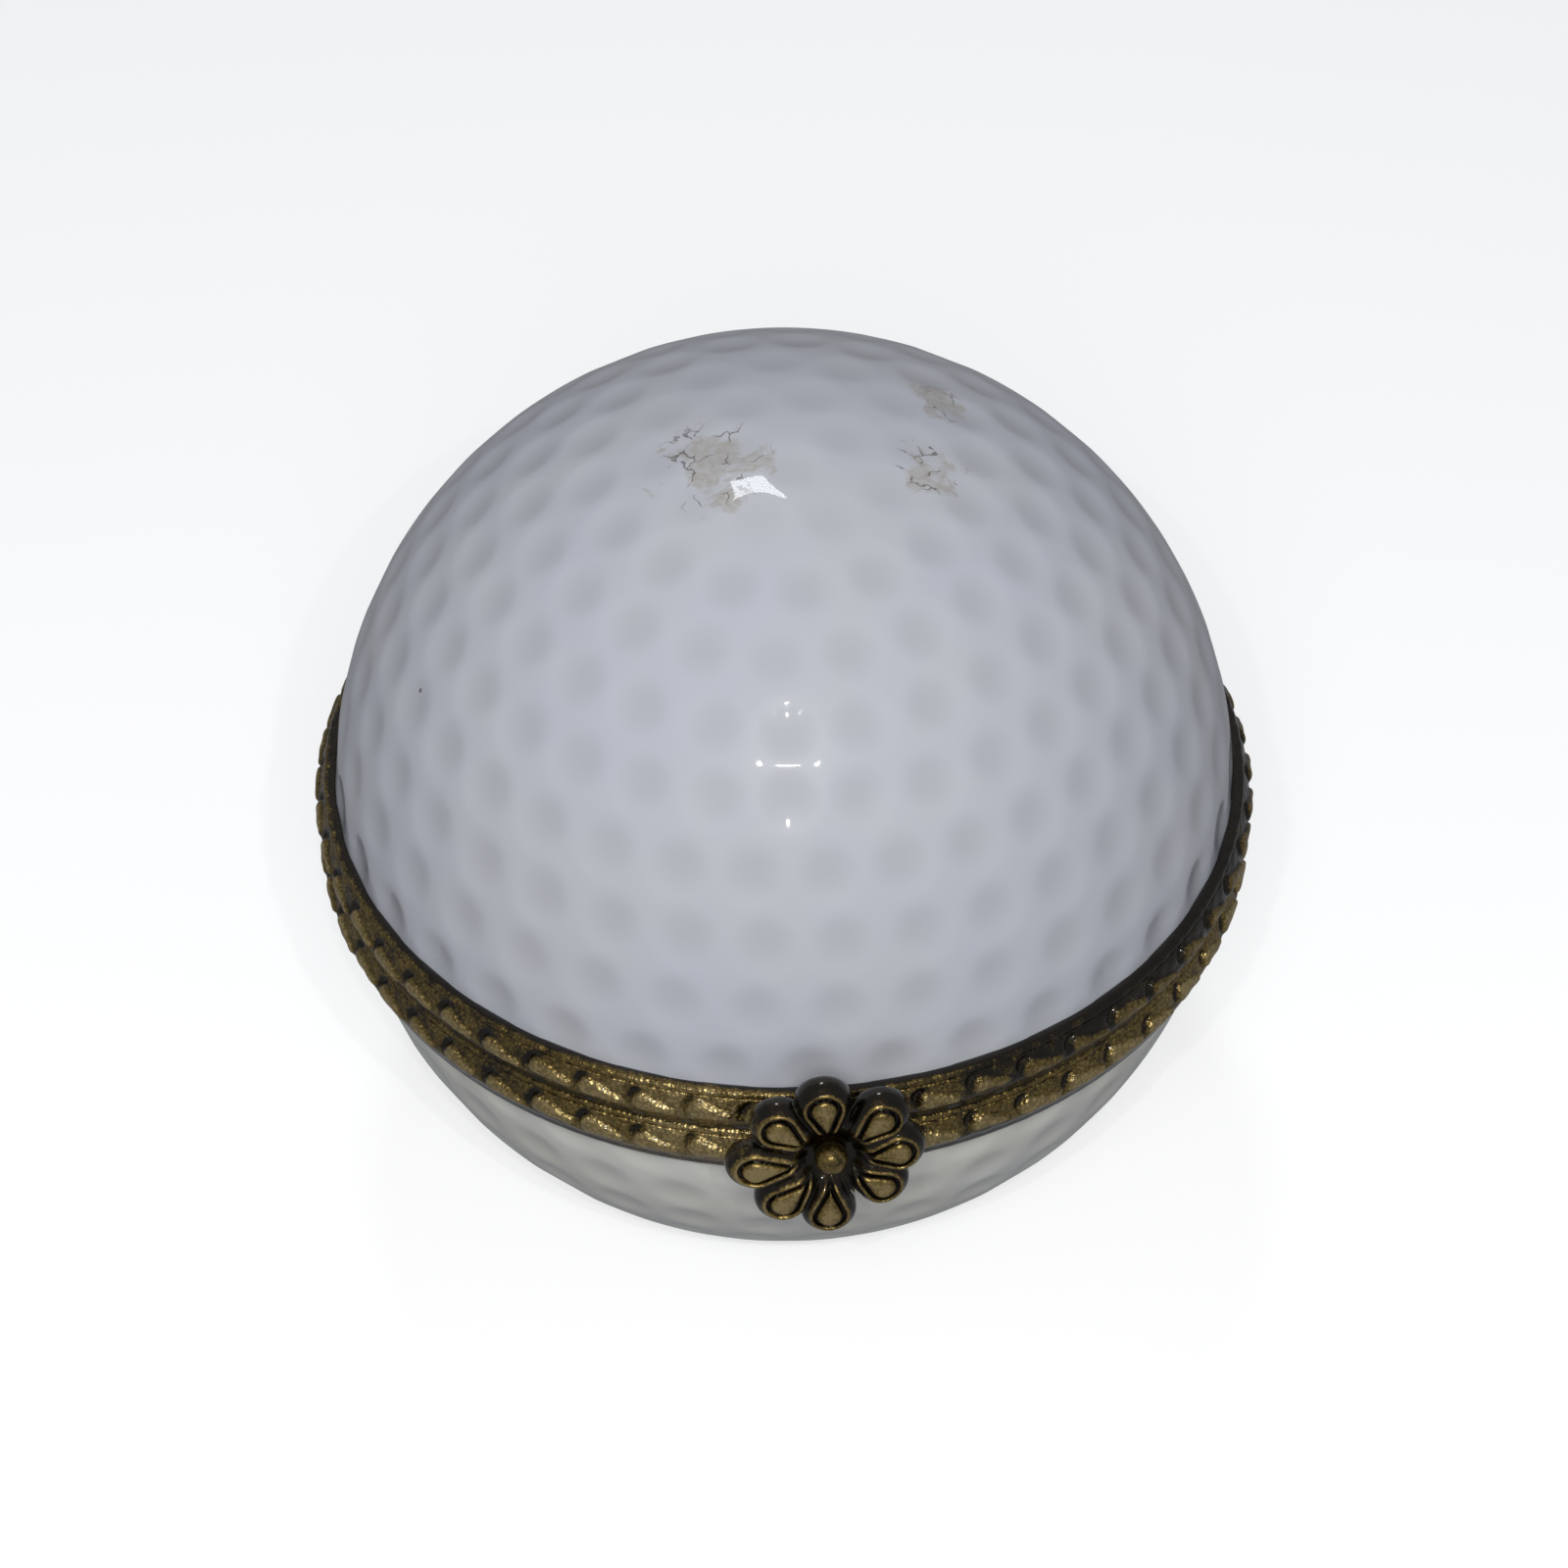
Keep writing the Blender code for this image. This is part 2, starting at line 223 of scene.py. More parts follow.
class Look:
    """A material whose Principled shader takes plain numbers first, and formulas after."""

    def __init__(self, name, **uniform):
        self.material = bpy.data.materials.new(name)
        self.material.use_nodes = True
        self.tree = self.material.node_tree
        self.shader = self.tree.nodes["Principled BSDF"]
        for socket, value in uniform.items():
            self.shader.inputs[socket.replace("_", " ")].default_value = value
        self.place = self.node("ShaderNodeTexCoord", out="Object")

    def node(self, kind, settings=None, sockets=None, out=0):
        made = self.tree.nodes.new(kind)
        for setting, value in (settings or {}).items():
            if setting == "stops":
                self.set_stops(made.color_ramp, value)
            else:
                setattr(made, setting, value)
        for socket, value in (sockets or {}).items():
            if isinstance(value, Wire):
                self.tree.links.new(value.socket, made.inputs[socket])
            else:
                made.inputs[socket].default_value = value
        return Wire(self, made.outputs[out])

    def set_stops(self, ramp, stops):
        while len(ramp.elements) < len(stops):
            ramp.elements.new(0.5)
        for element, (where, colour) in zip(ramp.elements, stops):
            element.position = where
            element.color = (*colour, 1.0)

    def mix(self, factor, first, second):
        """Blends two colours; factor 0 gives the first."""
        first = first if isinstance(first, Wire) else (*first, 1.0)
        second = second if isinstance(second, Wire) else (*second, 1.0)
        sockets = {0: factor, 6: first, 7: second}
        return self.node("ShaderNodeMix", {"data_type": "RGBA"}, sockets, out=2)

    def noise(self, size, detail=3.0, roughness=0.5, distortion=0.0, place=None):
        """Cloudy pattern, 0 to 1 about 0.5, whose blobs are about size metres across."""
        sockets = {
            "Vector": place or self.place,
            "Scale": 1 / size,
            "Detail": detail,
            "Roughness": roughness,
            "Distortion": distortion,
        }
        return self.node("ShaderNodeTexNoise", None, sockets)

    def cells(self, size, feature="F1", place=None):
        """Distance to scattered points about size metres apart, in units of that size."""
        sockets = {"Vector": place or self.place, "Scale": 1 / size}
        return self.node("ShaderNodeTexVoronoi", {"feature": feature}, sockets, "Distance")

    def ramp(self, value, low, high):
        """0 below low, 1 above high, smooth between. Low may be the larger, to turn it over."""
        settings = {"interpolation_type": "SMOOTHSTEP"}
        sockets = {0: value, 1: low, 2: high, 3: 0.0, 4: 1.0}
        if low > high:
            sockets = {0: value, 1: high, 2: low, 3: 1.0, 4: 0.0}
        return self.node("ShaderNodeMapRange", settings, sockets)

    def kept(self, attribute):
        """A value that the mesh carries at its points."""
        return self.node("ShaderNodeAttribute", {"attribute_name": attribute}, out="Fac")

    def near(self, spot, inner, outer):
        """1 within inner metres of a spot, falling to 0 at outer."""
        gap = self.node(
            "ShaderNodeVectorMath", {"operation": "DISTANCE"}, {0: self.place, 1: spot}, "Value"
        )
        return self.ramp(gap, outer, inner)

    def bump(self, height, rise, normal=None):
        """Raises the surface by height times rise metres, for light only."""
        sockets = {"Height": height, "Distance": rise}
        if normal:
            sockets["Normal"] = normal
        return self.node("ShaderNodeBump", None, sockets, "Normal")

    def feed(self, **formulas):
        for socket, wire in formulas.items():
            self.tree.links.new(wire.socket, self.shader.inputs[socket.replace("_", " ")])


def wear(piece, look):
    """Gives a piece its material."""
    piece.data.materials.clear()
    piece.data.materials.append(look.material)


def glaze(name, cool, warm, pooled_and_shaded):
    """Clear glaze on cool white porcelain: it pools darker in the dimples, a tone that also paints the shade in
    them, and dulls where handled.
    """
    look = Look(
        name, Coat_Weight=0.9, Coat_Roughness=0.03, Coat_IOR=1.45, Specular_IOR_Level=0.2
    )
    dimple_pool_and_shade = look.kept("dimple")
    cloud = look.noise(0.009, detail=2.0)
    clay = look.mix(look.ramp(cloud, 0.35, 0.65), cool, warm)
    # Painted shade: the colour darkens towards each dimple's middle, partly pooled glaze and partly the shade that
    # falls in the hollow.
    clay = look.mix(dimple_pool_and_shade * 0.5, clay, pooled_and_shaded)
    speck = look.ramp(look.cells(0.0042), 0.040, 0.022)
    rare = look.ramp(look.noise(0.012, detail=0.0), 0.60, 0.66)
    clay = look.mix(speck * rare * 0.8, clay, (0.07, 0.06, 0.05))
    look.feed(
        Base_Color=clay,
        Roughness=look.ramp(look.noise(0.004), 0.3, 0.75) * 0.12 + 0.32,
        Normal=look.bump(look.noise(0.0016, detail=1.0), 0.000012),
    )
    return look, clay


lid_glaze, lid_clay = glaze(
    "lid_glaze", (0.600, 0.622, 0.690), (0.612, 0.630, 0.672), (0.475, 0.490, 0.515)
)


def on_lid(x, y):
    """The point of the lid's top that lies over (x, y), in millimetres."""
    x, y = x / 1000, y / 1000
    return Vector((x, y, dome_centre + math.sqrt(ball_radius**2 - x * x - y * y)))


left_patch = lid_glaze.near(on_lid(-4.0, -2.2), 0.0010, 0.0045)
right_patch = lid_glaze.near(on_lid(7.3, -2.4), 0.0006, 0.0028)
far_patch = lid_glaze.near(on_lid(8.4, 3.4), 0.0005, 0.0026)
wet = lid_glaze.noise(0.0024, detail=7.0, roughness=0.66, distortion=0.5)
marked = left_patch + right_patch + far_patch
film = lid_glaze.ramp(wet + marked * 0.16, 0.60, 0.69) * lid_glaze.ramp(marked, 0.02, 0.25)
grit = lid_glaze.ramp(lid_glaze.noise(0.0004, detail=3.0, roughness=0.7), 0.35, 0.7)
swirl = lid_glaze.node(
    "ShaderNodeTexNoise",
    None,
    {"Vector": lid_glaze.place, "Scale": 1 / 0.0016, "Detail": 3.0},
    "Color",
)
strayed = (0.0022, 0.0022, 0.0022)
bent = lid_glaze.node(
    "ShaderNodeVectorMath",
    {"operation": "MULTIPLY_ADD"},
    {0: swirl, 1: strayed, 2: lid_glaze.place},
)
threads = lid_glaze.cells(0.0019, "DISTANCE_TO_EDGE", place=bent)
some = lid_glaze.ramp(lid_glaze.noise(0.0011, detail=1.0), 0.50, 0.56)
hair = lid_glaze.ramp(threads, 0.030, 0.012) * some
hair = hair * lid_glaze.ramp(marked, 0.15, 0.6)
stained = lid_glaze.mix(film * (grit * 0.35 + 0.30), lid_clay, (0.40, 0.345, 0.26))
stained = lid_glaze.mix(hair * 0.70, stained, (0.10, 0.085, 0.07))
lid_glaze.feed(Base_Color=stained)
wear(lid_porcelain, lid_glaze)
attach(lid_porcelain, "lid")
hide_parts("lid_shell")

# ---------------------------------------------------------------------------------------------
# Porcelain bowl, the lid's mirror image, cut off by the flat foot it stands on. Its glaze is
# a little greener, painted much lighter than the lid's as light from below, and stops at the
# ground foot, which is left as bare matt biscuit.

bowl_centre = parting - centre_rise
foot_fillet = 0.0009
foot_radius = math.sqrt(ball_radius**2 - bowl_centre**2)
foot_angle = math.degrees(math.asin(bowl_centre / ball_radius))
mounts = {mount["name"]: mount for mount in frame["record"]["mounts"]}
floor_height = mounts["inside_floor"]["pos_m"][2]
floor_angle = math.degrees(math.asin((bowl_centre - floor_height) / inner_radius))
turn_in = 2.2
bowl_rows = 6
plain_above_foot = 0.0012
dimples_fade = 0.0030


def soft_corner(before, corner, after, reach, steps):
    """Points that round off a corner, from reach before it to reach past it."""
    corner = Vector(corner)
    start = corner + (Vector(before) - corner).normalized() * reach
    end = corner + (Vector(after) - corner).normalized() * reach
    curve = []
    for i in range(steps + 1):
        t = i / steps
        curve.append(tuple(start * (1 - t) ** 2 + corner * 2 * t * (1 - t) + end * t**2))
    return curve


bowl_side = arc((0, bowl_centre), ball_radius, -cut, -foot_angle + turn_in, 64)
foot_corner = soft_corner(bowl_side[-1], (foot_radius, 0), (0, 0), foot_fillet, 6)
foot_flat = [(foot_radius * share, 0.0) for share in (0.84, 0.6, 0.3, 0.0)]
bowl_floor = [(0.0, floor_height), (foot_radius * 0.5, floor_height)]
inside_corner = arc((0, bowl_centre), inner_radius, -floor_angle, -cut_inside, 32)
inside_corner[:3] = soft_corner(bowl_floor[-1], inside_corner[0], inside_corner[3], 0.0012, 5)
bowl_profile = bowl_floor + inside_corner + bowl_side + foot_corner + foot_flat
bowl_porcelain = turned("base_porcelain", bowl_profile, 432)
bowl_points = points_of(bowl_porcelain)
above_foot = np.clip((bowl_points[:, 2] - plain_above_foot) / dimples_fade, 0, 1)
bowl_dimples = dimples(bowl_points, bowl_centre, rows=bowl_rows) * above_foot
press(bowl_porcelain, bowl_dimples, -dimple_depth * rim_row_depth, "dimple")

# Painted light: this glaze is painted far lighter than the lid's, standing in for light that reaches the bowl's
# underside from below.
bowl_glaze, bowl_clay_lit_from_below = glaze(
    "bowl_glaze", (0.83, 0.835, 0.79), (0.81, 0.810, 0.72), (0.60, 0.605, 0.54)
)
height = bowl_glaze.node("ShaderNodeSeparateXYZ", None, {0: bowl_glaze.place}, "Z")
bare = bowl_glaze.ramp(height + bowl_glaze.noise(0.003) * 0.0003, 0.00055, 0.00025)
biscuit_grain = bowl_glaze.noise(0.0003, detail=4.0, roughness=0.7)
biscuit = bowl_glaze.mix(biscuit_grain, (0.50, 0.47, 0.42), (0.66, 0.64, 0.60))
bowl_glaze.feed(
    Base_Color=bowl_glaze.mix(bare, bowl_clay_lit_from_below, biscuit),
    Coat_Weight=0.9 - bare * 0.9,
    Roughness=0.35 + bare * 0.4,
)
wear(bowl_porcelain, bowl_glaze)
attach(bowl_porcelain, "base")
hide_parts("base_shell")

# ---------------------------------------------------------------------------------------------
# Brass bands. Each is a strip rolled between dies that stamp a row of leaf-shaped beads on a
# stippled ground, bent round the rim and soldered to the hinge leaf. Dark patina fills it, and
# painted shade darkens its downward lower slope and its edges against the porcelain.

band_low, band_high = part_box("lid_band")
band_bottom = band_low.z - parting
band_height = band_high.z - band_low.z
band_crest = band_high.x
leaf_half_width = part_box("lid_hinge_leaf")[1].x
bead_pitch = math.radians(6.5)
steps_per_bead = 22
face_steps = 34
relief_depth = 0.00046
band_back = ball_radius - 0.00012
band_ground = band_crest - relief_depth - ball_radius
lip_share = 0.12
edge_reach = 0.00030
leaf_start = 0.00070
leaf_drop = 0.00112
leaf_length = 0.00165
head_along = 0.00066
head_drop = 0.00114
cut_radius = 0.00060
cut_width = 0.00015


def ground_reach(share):
    """How far the band's ground stands out from the ball, a share of the way down the strip."""
    if share < lip_share:
        lip = math.sin(math.pi * min(share / 0.10, 1.0)) ** 0.7
        return (edge_reach if share > 0.06 else 0.00032 * lip - 0.00002) + 0.00006 * lip
    lean = (share - lip_share) / (1 - lip_share)
    swell = math.sin(math.pi * min(lean * 0.86, 1)) ** 0.75
    return edge_reach + (band_ground - edge_reach) * swell


def smooth(value, low, high):
    """0 below low, 1 above high, smooth between."""
    t = np.clip((value - low) / (high - low), 0, 1)
    return t * t * (3 - 2 * t)


def stamped(points, top, sweep_start, bead_step):
    """The die's relief at each point, from 0 in its cuts to 1 on a leaf's back, with painted shade low on its
    lower slope and at its edges, and its stipple.
    """
    down = (top - points[:, 2]) / band_height
    along = (np.arctan2(points[:, 1], points[:, 0]) - sweep_start) % math.tau / bead_step
    which = np.floor(along)
    within = (along - which) * bead_step * ball_radius
    depth = down * band_height
    uneven = np.sin(which * 2.4) * 0.00008
    length = leaf_length + np.sin(which * 5.1) * 0.00018
    spine = np.clip((within - leaf_start) / length, 0, 1)
    spine_depth = leaf_drop + uneven + 0.00024 * spine
    gap = np.hypot(within - leaf_start - length * spine, depth - spine_depth)
    below = smooth(depth, 0.0011, 0.0019)
    width = (0.00046 - 0.00025 * spine) * (1 + 0.2 * below) * (1 + 0.12 * np.sin(which * 3.3))
    leaf = np.sqrt(np.clip(1 - (gap / width) ** 2, 0, 1)) * (1 - 0.35 * below)
    ahead = within - bead_step * ball_radius * (within > 0.0018)
    from_head = np.hypot(ahead - head_along, depth - head_drop - uneven)
    turn = np.arctan2(head_drop + uneven - depth, head_along - ahead)
    cut = np.exp(-(((from_head - cut_radius) / cut_width) ** 2) - ((turn - 0.75) / 0.75) ** 2)
    hammered = np.sin(within * 5200 + which * 2.1) * np.sin(depth * 6100 + which)
    height = 0.50 + 0.45 * leaf + 0.05 * hammered - 0.85 * cut * smooth(depth, 0.0003, 0.0007)
    # Painted shade: the lower slope, which faces down, is pressed flatter and goes dark, as the shade below the
    # leaf row.
    height *= 1 - 0.80 * smooth(depth, 0.0015, 0.0022)
    outside = np.hypot(points[:, 0], points[:, 1]) > ball_radius - 0.00004
    # Painted shade: the relief drops to 0 along the strip's top and bottom edges, so the patina there paints the
    # shadow gap against the porcelain.
    edge = smooth(np.minimum(down, 1 - down), 0.0, 0.03)
    stipple = np.clip(1 - 0.8 * smooth(depth, 0.0016, 0.0020), 0, 1)
    return np.clip(height, 0, 1) * edge * outside, stipple


def band(name, top, body, node):
    """Rolls one strip round the rim, all but the hinge leaf's width, and stamps it."""
    half_gap = math.asin(leaf_half_width / ball_radius)
    start = math.pi / 2 + half_gap
    sweep = math.tau - 2 * half_gap
    beads = round(sweep / bead_pitch)
    shares = [i / face_steps for i in range(face_steps + 1)]
    face = [(ball_radius + ground_reach(s), top - band_height * s) for s in shares]
    back = [(band_back, top - band_height), (band_back, top)]
    strip = turned(name, face + back, beads * steps_per_bead, start, sweep, closed=True)
    relief, stipple = stamped(points_of(strip), top, start, sweep / beads)
    press(strip, relief, relief_depth, "relief")
    keep(strip, stipple, "stipple")
    wear(strip, brass)
    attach(strip, body)
    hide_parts(node)


def antique_brass(name, level=None):
    """Rubbed gold on what stands proud, glossy black-brown patina in what is sunk, and painted light: lighter left
    of the clasp, and right of it darker on the upper band and lighter on the lower.

    The piece carries its relief, unless one level is given for all of it.
    """
    look = Look(name, Metallic=1.0, Coat_Roughness=0.06)
    raised = look.kept("relief") if level is None else level
    stipple = look.kept("stipple")
    cloud = look.noise(0.0016, detail=5.0, roughness=0.65)
    grain = look.cells(0.00020)
    crumb = look.noise(0.00016, detail=2.0)
    across = look.node("ShaderNodeSeparateXYZ", None, {0: look.place}, "X")
    height = look.node("ShaderNodeSeparateXYZ", None, {0: look.place}, "Z")
    upper = look.ramp(height, parting - 0.0004, parting + 0.0004)
    # Painted light: the gold is lighter round a spot left of the clasp, and right of the clasp darker on the upper
    # band and lighter on the lower band, as the light falls there.
    painted_side_light = look.near(Vector((-0.0075, -ball_radius, parting)), 0.001, 0.010) * 0.32
    painted_side_light = painted_side_light - look.ramp(across, 0.003, 0.014) * (upper * 0.36 - 0.12)
    wear_and_side_light = raised + painted_side_light + (cloud - 0.5) * 0.85 + (crumb - 0.5) * 0.35
    rubbed_and_lit = look.ramp(wear_and_side_light, 0.30, 0.62)
    shine = look.ramp(wear_and_side_light, 0.62, 0.95)
    dark = look.mix(cloud, (0.008, 0.006, 0.003), (0.036, 0.024, 0.009))
    gold = look.mix(look.ramp(crumb, 0.3, 0.7), (0.270, 0.185, 0.055), (0.480, 0.340, 0.110))
    base = look.mix(rubbed_and_lit, dark, gold)
    base = look.mix(shine * 0.95, base, (0.80, 0.61, 0.27))
    pits = look.ramp(grain, 0.25, 0.65) * stipple
    base = look.mix(pits * 0.4, base, (0.030, 0.020, 0.008))
    base = look.mix(look.ramp(cloud, 0.62, 0.80) * 0.5, base, (0.020, 0.014, 0.007))
    normal = look.bump(look.noise(0.00045, detail=2.0), 0.00006)
    look.feed(
        Base_Color=base,
        Roughness=0.38 - rubbed_and_lit * 0.08 + crumb * 0.10,
        Coat_Weight=0.95 - rubbed_and_lit * 0.60,
        Normal=look.bump(grain * (stipple * 0.8 + 0.2), 0.000045, normal),
    )
    return look


brass = antique_brass("antique_brass")
band("lid_gallery", band_high.z, "lid", "lid_band")
band("base_gallery", parting - band_bottom, "base", "base_band")

# ---------------------------------------------------------------------------------------------
# Flange rings that cap the porcelain's ground rims, filed flat, on a bed of dull white cement
# that shows as a thin bead inside, between the brass and the glaze.

plain_brass = antique_brass("rubbed_brass", 0.55)
dull_brass = antique_brass("dull_brass", 0.34)


def round_section(low_r, high_r, low_z, high_z, corner):
    """A rectangular section of (radius, height) with rounded corners."""
    near_r, far_r = low_r + corner, high_r - corner
    near_z, far_z = low_z + corner, high_z - corner
    points = arc((far_r, near_z), corner, -90, 0, 3)
    points += arc((far_r, far_z), corner, 0, 90, 3)
    points += arc((near_r, far_z), corner, 90, 180, 3)
    points += arc((near_r, near_z), corner, 180, 270, 3)
    return points


def ring_piece(name, node, inner, body, look, corner):
    """A flat ring from an inner radius out to the ball's, as high as its node."""
    low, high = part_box(node)
    section = round_section(inner, ball_radius, low.z, high.z, corner)
    ring = turned(name, section, 180, closed=True)
    wear(ring, look)
    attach(ring, body)
    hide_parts(node)


cement = Look("bedding_cement", Roughness=0.9, Specular_IOR_Level=0.2)
crumbs = cement.noise(0.0005, detail=5.0, roughness=0.7)
cement.feed(
    Base_Color=cement.mix(crumbs, (0.36, 0.33, 0.27), (0.62, 0.59, 0.52)),
    Normal=cement.bump(crumbs, 0.00008),
)
flange_inner = inner_radius + 0.0002
for half in ("lid", "base"):
    ring_piece(
        f"{half}_flange", f"{half}_seat_ring", flange_inner, half, plain_brass,
        0.00010,
    )
    ring_piece(
        f"{half}_cement_bead", f"{half}_cement_bed", flange_inner + 0.0001, half, cement,
        0.00012,
    )

# ---------------------------------------------------------------------------------------------
# Hinge. Two leaves of sheet brass, curled into gutters that wrap the barrel, are soldered
# between the bands' ends. Their knuckles turn on a wire that is peened over at both ends.

leaf_low, leaf_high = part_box("lid_hinge_leaf")
knuckle_low, knuckle_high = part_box("base_knuckle_3")
knuckle_radius = (knuckle_high.z - knuckle_low.z) / 2
gutter_outer = hinge_place.y - leaf_low.y
gutter_inner = knuckle_radius + (gutter_outer - knuckle_radius) * 0.375
opening = joints["lid_hinge"]["range_deg"][1]
knuckle_bore = 0.00054


def extruded(name, outline, low_x, high_x):
    """An outline of (y, z) points, faced and then extruded along X."""
    piece = outline_object(name, [(low_x, y, z) for y, z in outline], closed=True)
    bpy.ops.object.mode_set(mode="EDIT")
    bpy.ops.mesh.select_all(action="SELECT")
    bpy.ops.mesh.edge_face_add()
    bpy.ops.mesh.extrude_region_move(TRANSFORM_OT_translate={"value": (high_x - low_x, 0, 0)})
    tidy_mesh()
    bpy.ops.object.mode_set(mode="OBJECT")
    return piece


def soften(piece, width, segments=2, angle=40):
    """Bevels the sharp edges, as filing and tumbling would."""
    bevel = piece.modifiers.new("filed", "BEVEL")
    bevel.width = width
    bevel.segments = segments
    bevel.limit_method = "ANGLE"
    bevel.angle_limit = math.radians(angle)
    bpy.context.view_layer.objects.active = piece
    bpy.ops.object.modifier_apply(modifier=bevel.name)
    bpy.ops.object.select_all(action="DESELECT")
    piece.select_set(True)
    bpy.ops.object.shade_smooth_by_angle(angle=math.radians(50))


def leaf(half, side):
    """One leaf and its gutter, with side 1 for the lid and -1 for the bowl."""
    wrap = (360 - opening - 3) / 2
    meets = math.degrees(math.acos(gutter_inner / gutter_outer))
    lip = math.degrees(math.asin((leaf_low.z - parting) / gutter_inner))
    flat = [
        (-gutter_outer, leaf_low.z - parting),
        (-gutter_outer, leaf_high.z - parting),
        (-gutter_inner, leaf_high.z - parting),
    ]
    outer = [(-y, z) for y, z in arc((0, 0), gutter_outer, meets, wrap, 20)]
    inner = [(-y, z) for y, z in arc((0, 0), gutter_inner, wrap, lip, 24)]
    outline = [(hinge_place.y + y, parting + side * z) for y, z in flat + outer + inner]
    piece = extruded(f"{half}_leaf", outline, leaf_low.x, leaf_high.x)
    soften(piece, 0.00007)
    wear(piece, plain_brass)
    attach(piece, half)
    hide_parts(f"{half}_hinge_leaf")


def lie_along_x(piece, place):
    """Turns a piece made about Z to lie along X at its place, and applies the turn."""
    piece.rotation_euler = Euler((0, math.pi / 2, 0))
    piece.location = place
    bpy.ops.object.select_all(action="DESELECT")
    piece.select_set(True)
    bpy.context.view_layer.objects.active = piece
    bpy.ops.object.transform_apply(location=True, rotation=True, scale=True)


def knuckle(node):
    """One tube of the barrel, bored to slip over the wire."""
    low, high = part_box(node)
    half = (high.x - low.x) / 2
    section = round_section(knuckle_bore, knuckle_radius, -half, half, 0.00010)
    tube = turned(f"{node}_tube", section, 48, closed=True)
    lie_along_x(tube, ((low.x + high.x) / 2, hinge_place.y, parting))
    wear(tube, plain_brass)
    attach(tube, node.split("_")[0])
    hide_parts(node)


def solder(node):
    """Fillet of solder that fills the gap between a knuckle and its own leaf's gutter."""
    half, low, high = node.split("_")[0], *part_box(node)
    side = 1 if half == "lid" else -1
    near = [(-y, z) for y, z in arc((0, 0), knuckle_radius - 0.00006, 24, 78, 10)]
    far = [(-y, z) for y, z in arc((0, 0), gutter_inner + 0.00006, 88, 14, 12)]
    outline = [(hinge_place.y + y, parting + side * z) for y, z in near + far]
    fillet = extruded(f"{node}_solder", outline, low.x + 0.0001, high.x - 0.0001)
    soften(fillet, 0.00005, 1)
    wear(fillet, dull_brass)
    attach(fillet, half)


leaf("lid", 1)
leaf("base", -1)
knuckles = [node for node in sorted(frame["nodes"]) if "knuckle" in node]
for node in knuckles:
    knuckle(node)
    solder(node)

pin_low, pin_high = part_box("hinge_pin")
pin_radius = 0.0005
head_radius = (pin_high.z - pin_low.z) / 2
head_rise = head_radius * 0.42
head_start = (pin_high.x - pin_low.x) / 2 - head_rise
head = [(r, head_start + z * 0.42) for r, z in arc((0, 0), head_radius, 0, 90, 8)]
half_pin = [(pin_radius, head[0][1]), *head]
pin_profile = [(r, -z) for r, z in reversed(half_pin)] + half_pin
wire_pin = turned("hinge_wire", pin_profile, 40)
lie_along_x(wire_pin, (0, hinge_place.y, parting))
steel = Look("drawn_steel", Metallic=1.0)
drawn = steel.noise(0.0004, detail=4.0)
steel.feed(
    Base_Color=steel.mix(drawn, (0.22, 0.19, 0.15), (0.50, 0.47, 0.42)),
    Roughness=0.28 + drawn * 0.2,
    Normal=steel.bump(drawn, 0.00002),
)
wear(wire_pin, steel)
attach(wire_pin, "base")
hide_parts("hinge_pin")

# ---------------------------------------------------------------------------------------------
# Clasp tongue and catch. A spring strip soldered to the lid band hangs down over the parting
# line, and its nib snaps under a round-nosed peg that is riveted through the base band.

for node in ("clasp_tongue", "catch_stud"):
    carried = frame["nodes"][node]
    carried.data.materials.clear()
    carried.data.materials.append(plain_brass.material)
tongue_root = Vector(joints["clasp_spring"]["pos_m"])
pad_radius = 0.00105
pad_depth = 0.0007
pad_profile = [
    (0, 0.0),
    (pad_radius, 0.0),
    (pad_radius * 1.12, -pad_depth / 2),
    (pad_radius * 1.3, -pad_depth),
    (0, -pad_depth),
]
pad = turned("tongue_solder", pad_profile, 32)
pad.rotation_euler = Euler((math.pi / 2, 0, 0))
pad.location = tongue_root + Vector((0, -0.00004, 0))
bpy.ops.object.transform_apply(location=True, rotation=True, scale=True)
wear(pad, dull_brass)
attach(pad, "lid")

# ---------------------------------------------------------------------------------------------
# Flower. A stamped blossom of eight round petals, each with a raised loop that runs round
# inside its edge and a raised heart in the loop, about a dark cup that holds a round bead.

flower_low, flower_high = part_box("flower")
flower_radius = (flower_high.x - flower_low.x) / 2
petals = 8
petal_end = 1.45 / 5.1 * flower_radius
petal_out = flower_radius - petal_end
petal_lean = math.asin(petal_end / petal_out)
flower_turn = math.radians(4)
petal_body = 0.00078
petal_edge = 0.00028
cup_radius = 0.00140
clasp_tilt = math.radians(8)
flower_rings = 60
petal_sway = (2.0, -5.0, 1.0, 5.0, -6.0, -2.0, 1.0, 1.0)
petal_size = (0.95, 0.98, 0.95, 0.90, 1.00, 1.00, 1.06, 0.96)


def petal_field(x, y):
    """Depth inside the nearest petal's outline, in metres, over a thin web that joins them all."""
    deepest = np.minimum(flower_radius * 0.5 - np.hypot(x, y), 0.00010)
    for k in range(petals):
        heading = math.pi / 2 + flower_turn - k * math.tau / petals + math.radians(petal_sway[k])
        out = (x * math.cos(heading) + y * math.sin(heading)) / petal_size[k]
        across = np.abs(-x * math.sin(heading) + y * math.cos(heading))
        along_side = across * math.sin(petal_lean) + out * math.cos(petal_lean)
        side = out * math.sin(petal_lean) - across * math.cos(petal_lean)
        end = petal_end - np.hypot(out - petal_out, across)
        inside = np.where(along_side > math.cos(petal_lean) * petal_out, end, side)
        deepest = np.maximum(deepest, inside)
    return deepest


def outline_reach(angle):
    """Distance from the flower's middle to its outline in one direction."""
    reach = np.linspace(0.15, 1.08, 500) * flower_radius
    inside = petal_field(reach * math.cos(angle), reach * math.sin(angle))
    return reach[np.nonzero(inside > 0)[0][-1]]


